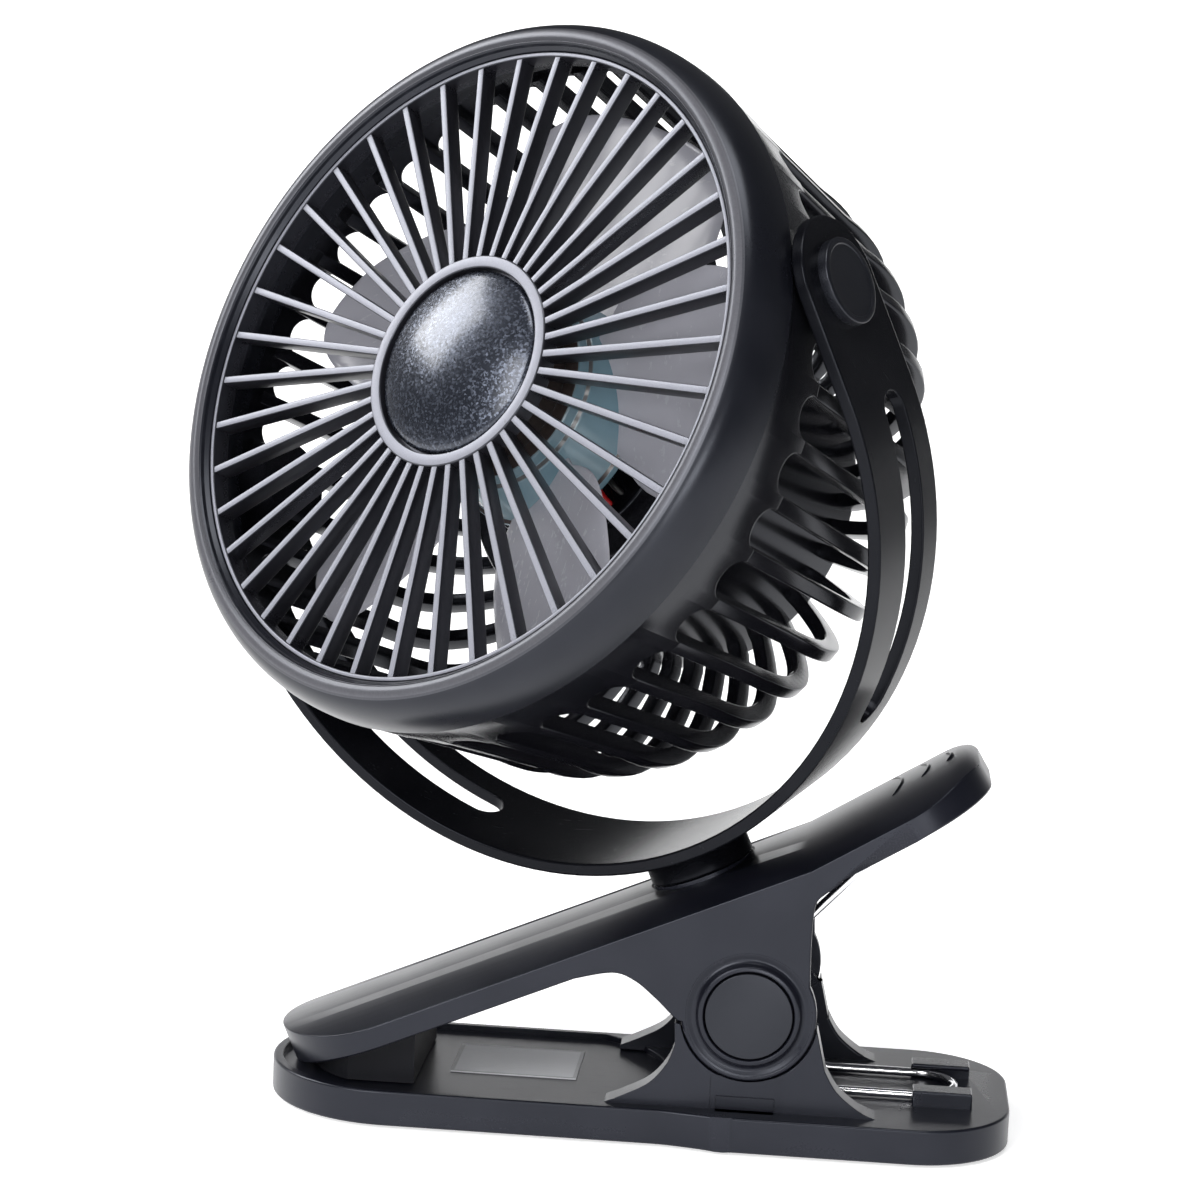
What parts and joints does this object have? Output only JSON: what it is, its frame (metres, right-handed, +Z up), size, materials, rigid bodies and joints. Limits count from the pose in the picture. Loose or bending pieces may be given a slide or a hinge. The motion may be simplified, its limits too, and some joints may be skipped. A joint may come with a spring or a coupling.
{
  "type": "clip-on camping fan",
  "caption": "Small rechargeable fan with a spoked front grille and ribbed cage, tilting in a U-shaped yoke that swivels on a spring clip with a flat base.",
  "frame": {"origin": "centre line of the clip, on the underside of the grip pad on which the fan stands", "axes": "+Z up, X along the clip with the jaw's nose towards -X and the thumb end towards +X, the fan's front towards -Y"},
  "size_m": [0.1765, 0.1451, 0.2195],
  "materials": {
    "shell_black": "satin",
    "cage_black": "satin",
    "ring_black": "satin",
    "grille_grey": "satin",
    "dome_blue_grey": "pearl gloss",
    "cap_black": "gloss",
    "rubber_black": "matte",
    "label_grey": "matte",
    "steel": "satin",
    "spring_steel": "bright",
    "blade_grey": "gloss",
    "motor_can": "satin",
    "cell_blue": "gloss",
    "board_green": "satin",
    "socket_metal": "satin",
    "lens_clear": "clear gloss",
    "lead_red": "satin",
    "lead_black": "satin"
  },
  "bodies": {
    "base": {"base_tray": "shell_black", "base_plate": "shell_black", "base_screws": "steel", "foot_pad": "rubber_black", "label_plate": "label_grey", "pivot_axle": "steel", "pivot_caps": "cap_black", "clip_spring": "spring_steel"},
    "upper_jaw": {"upper_jaw": "shell_black", "jaw_pad": "rubber_black", "spring_arms": "spring_steel", "friction_washer": "shell_black"},
    "yoke": {"yoke": "shell_black", "yoke_caps": "cap_black", "swivel_screw": "steel", "swivel_washer": "steel"},
    "head": {"front_ring": "ring_black", "front_grille": "grille_grey", "hub_cap": "dome_blue_grey", "rear_cage": "cage_black", "rear_cover": "shell_black", "cover_screws": "steel", "charging_socket": "socket_metal", "indicator_lenses": "lens_clear", "circuit_board": "board_green", "push_switch": "cap_black", "battery_cell": "cell_blue", "motor": "motor_can", "motor_mount": "shell_black", "motor_screws": "steel", "mount_screws": "steel", "lead_red": "lead_red", "lead_black": "lead_black", "tilt_screws": "steel", "tilt_washers": "steel"},
    "rotor": {"fan_blades": "blade_grey", "motor_shaft": "steel"},
    "button": {"power_button": "cap_black"}
  },
  "joints": [
    {"name": "jaw_hinge", "type": "hinge", "parent": "base", "child": "upper_jaw", "pos_m": [0.0321, 0, 0.0272], "axis": [0, 1, 0], "range_deg": [0, 22], "stiffness_Nm_per_rad": 1.2, "springref_deg": -57.3},
    {"name": "neck_swivel", "type": "hinge", "parent": "upper_jaw", "child": "yoke", "pos_m": [0.02011, 0, 0.05252], "axis": [-0.3987, 0, 0.9171], "continuous": true},
    {"name": "head_tilt", "type": "hinge", "parent": "yoke", "child": "head", "pos_m": [-0.0201, 0, 0.145], "axis": [-0.8228, 0.4415, -0.3578], "continuous": true},
    {"name": "rotor_spin", "type": "hinge", "parent": "head", "child": "rotor", "pos_m": [-0.0201, 0, 0.145], "axis": [-0.5607, -0.7332, 0.3848], "continuous": true},
    {"name": "button_press", "type": "slide", "parent": "head", "child": "button", "axis": [-0.5607, -0.7332, 0.3848], "range_m": [0, 0.0006], "stiffness_N_per_m": 800, "springref_m": -0.0005}
  ]
}
